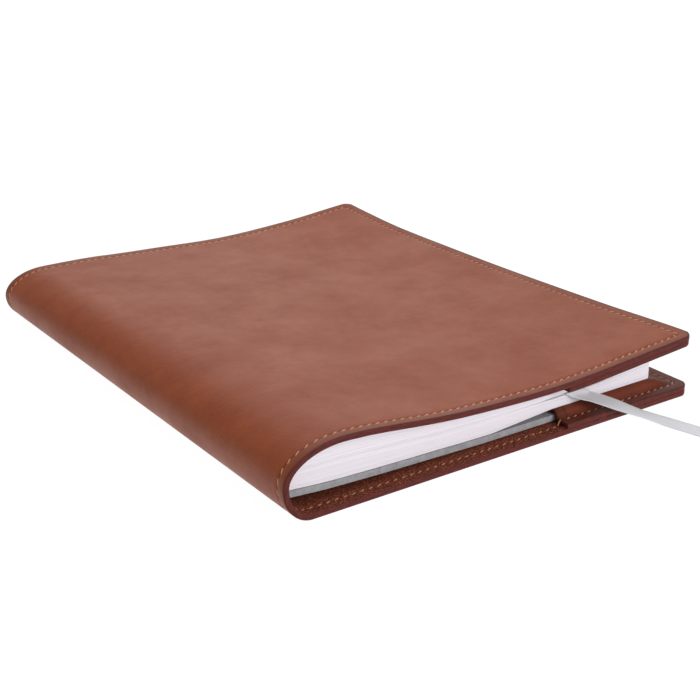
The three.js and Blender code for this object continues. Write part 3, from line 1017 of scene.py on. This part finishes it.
def seam_line(width):
    """Evenly spaced places round a sheet of this width and the cover's length, one inset inside it."""
    near = SEAM_INSET + SEAM_BEND
    centres = ((near, near), (width - near, near), (width - near, COVER_L - near), (near, COVER_L - near))
    line = []
    for (centre_u, centre_y), start in zip(centres, (180, 270, 0, 90)):
        for a in np.radians(np.linspace(start, start + 90, 12)):
            line.append((centre_u + SEAM_BEND * math.cos(a), centre_y + SEAM_BEND * math.sin(a)))
    line.append(line[0])
    line = np.array(line)
    run = run_along(line[:, 0], line[:, 1])
    count = round(run[-1] / STITCH_PITCH)
    at = (np.arange(count) + 0.5) * run[-1] / count
    return np.stack([np.interp(at, run, line[:, 0]), np.interp(at, run, line[:, 1])], -1)


def hide_places(start, stop, depth, outward):
    """Stitch places on one face of the hide, for the part of the seam from start to stop."""
    line = seam_line(HIDE_RUN)
    following = np.roll(line, -1, axis=0)
    places = []
    for (u, y), (next_u, next_y) in zip(line, following):
        if start < u < stop:
            here = hide_point(u, y, depth)
            way = hide_point(next_u, next_y, depth) - here
            places.append((here, way, outward * outer_normal(u, y)))
    return places


CORNER_LIFT = 0.5                    # of the stitch over a pocket's free edge, off the cut corner
ON_POCKET = 0.9                      # from that edge to the stitch's end on the pocket
ON_HIDE = 1.9                        # and to its end on the cover
FIRST_STITCH = 2.5                   # and to the first plain stitch


def over_the_edge(point, y, outward):
    """The place of the stitch over a pocket's free edge, from its grain side down to the hide."""
    on_pocket = point(POCKET_START + ON_POCKET, y, 0.0)
    on_hide = point(POCKET_START, y, POCKET_LEATHER) - np.array([ON_HIDE, 0, 0])
    way = on_pocket - on_hide
    out = unit(np.array([-abs(way[2]), 0, outward * way[0]]))
    return (on_pocket + on_hide) / 2 + CORNER_LIFT * out, way, out


def pocket_places_on(point, outward):
    """Stitch places on a pocket, from its free edge round the fore-edge."""
    line = seam_line(2 * COVER_W)
    following = np.roll(line, -1, axis=0)
    places = [over_the_edge(point, y, outward) for y in (SEAM_INSET, COVER_L - SEAM_INSET)]
    for (x, y), (next_x, next_y) in zip(line, following):
        if x < POCKET_W - FIRST_STITCH:
            here = point(COVER_W - x, y, 0.0)
            way = point(COVER_W - next_x, next_y, 0.0) - here
            places.append((here, way, np.array([0, 0, outward])))
    return places


POCKET_RUN = POCKET_W + 2.0          # the lining's stitches start past the pocket
FLUSH = THREAD_H * (THREAD_PROUD + 0.5)
FLAT_BELOW = 0.8                     # the cover lies on the table where its outside is below this


def off_the_table(places):
    """The same places, with those on the table raised until their stitches no longer stand proud."""
    lift = np.array([0, 0, FLUSH])
    return [(place + lift * (place[2] < FLAT_BELOW), way, out) for place, way, out in places]


back_places = off_the_table(hide_places(0.0, MIDDLE, 0.0, 1.0))
back_places += hide_places(POCKET_RUN, MIDDLE, LEATHER, -1.0)
front_places = hide_places(MIDDLE, HIDE_RUN, 0.0, 1.0)
front_places += hide_places(MIDDLE, HIDE_RUN - POCKET_RUN, LEATHER, -1.0)
back_stitches = stitches("back_cover_stitches", back_places)
front_stitches = stitches("front_cover_stitches", front_places)
bend_back(back_stitches)
bend_front(front_stitches)
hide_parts("back_seam_foot", "back_seam_head")
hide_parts("front_seam")
back_pocket_stitches = stitches("back_pocket_stitches", pocket_places_on(back_pocket_point, 1.0))
front_pocket_stitches = stitches("front_pocket_stitches", pocket_places_on(front_pocket_point, -1.0))
settle(back_pocket_stitches, "back", "thread", "back_pocket_seam")
settle(front_pocket_stitches, "front", "thread")


# ---- the ribbon bookmark ----
OUTSIDE = [
    (148.3, 8.6, 14.1), (149.5, 8.2, 13.4), (151.3, 7.8, 12.5), (154.3, 7, 11.2),
    (158.6, 3.7, 9.5), (163.8, -1, 7.3), (169.7, -5.9, 4.6), (175.3, -10.6, 2.2),
    (179.4, -15.6, 0.7), (182.2, -24, 0.4), (184.8, -34, 0.4), (187.2, -43, 0.4),
]
RIBBON_OUTLINE = [
    (-1, 0), (-0.97, 0.5), (-0.6, 0.42), (0, 0.4), (0.6, 0.42), (0.97, 0.5),
    (1, 0), (0.97, -0.5), (0.6, -0.42), (0, -0.4), (-0.6, -0.42), (-0.97, -0.5),
]
RIBBON_SIDE_W = 1.4                  # width of one of its sides in the weave
RIBBON_ROLL = math.radians(8)        # how far it tips over the edge of the cover
WIDEST_CUT = 0.62                    # longest half cut along X, in ribbon widths
route = []
for t in np.linspace(0, 1, 17):
    x, y = mix(RIBBON_HEAD[0], RIBBON_FOOT[0], t), mix(RIBBON_HEAD[1], RIBBON_FOOT[1], t)
    route.append((x, y, float(marked_level(x, y))))
route = np.array(route + OUTSIDE)


def smooth_route(points, step):
    """Catmull-Rom points along a route."""
    padded = np.concatenate([[2 * points[0] - points[1]], points, [2 * points[-1] - points[-2]]])
    fine = []
    for i in range(1, len(padded) - 2):
        a, b, c, d = padded[i - 1 : i + 3]
        bend = 2 * a - 5 * b + 4 * c - d
        twist = 3 * b - a - 3 * c + d
        count = max(2, round(float(np.linalg.norm(c - b)) / step))
        for t in np.arange(count) / count:
            fine.append(0.5 * (2 * b + (c - a) * t + bend * t**2 + twist * t**3))
    return np.array(fine + [points[-1]])


centre = smooth_route(route, 1.6)
centre_steps = np.linalg.norm(np.diff(centre, axis=0), axis=1)


def ribbon():
    """A thin woven band: cut along X up to where it folds over the pages' edge, and square past it."""
    way = unit(np.gradient(centre, axis=0))
    square = unit(np.stack([way[:, 1], -way[:, 0], np.zeros(len(way))], -1))
    free = smooth(-centre[:, 1], 0.8 - PAGE_INSET, 3.0 - PAGE_INSET)[:, None]
    cut = unit(mix(np.array([-1.0, 0, 0]), square, free))
    slant = (cut * way).sum(axis=1)
    half = np.minimum(RIBBON_W / 2 / np.sqrt(1 - slant**2), WIDEST_CUT * RIBBON_W)
    roll = RIBBON_ROLL * smooth(centre[:, 1], -9, -1) * smooth(-centre[:, 1], -8.4, -6)
    run = np.concatenate([[0], np.cumsum(centre_steps)])
    size = len(RIBBON_OUTLINE)
    points, uvs, faces = [], [], []
    for p, w, level_cut, reach, lean in zip(centre, way, cut, half, roll):
        level_up = unit(np.cross(level_cut, w))
        across = level_cut * math.cos(lean) - level_up * math.sin(lean)
        up = level_up * math.cos(lean) + level_cut * math.sin(lean)
        for a, r in RIBBON_OUTLINE:
            points.append(p + across * (a * reach) + up * (r * RIBBON_T))
    for s in range(len(centre) - 1):
        this, following = s * size, (s + 1) * size
        for k in range(size):
            n = (k + 1) % size
            low_v, high_v = k * RIBBON_SIDE_W, (k + 1) * RIBBON_SIDE_W
            faces.append((this + k, following + k, following + n, this + n))
            uvs += [(run[s], low_v), (run[s + 1], low_v), (run[s + 1], high_v), (run[s], high_v)]
    last = (len(centre) - 1) * size
    faces += [tuple(range(size)), tuple(range(last + size - 1, last - 1, -1))]
    uvs += [(0, 0)] * (2 * size)
    return finish_mesh("satin_ribbon", points, faces, uvs, [white_satin])


ribbon_band = ribbon()
settle(ribbon_band, "back", "satin_ribbon", "ribbon_bookmark")
in_model(*route[0])

boxes = {"cad": CAD_BOX, "visual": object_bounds()}
{name: [list(corner) for corner in box] for name, box in boxes.items()}
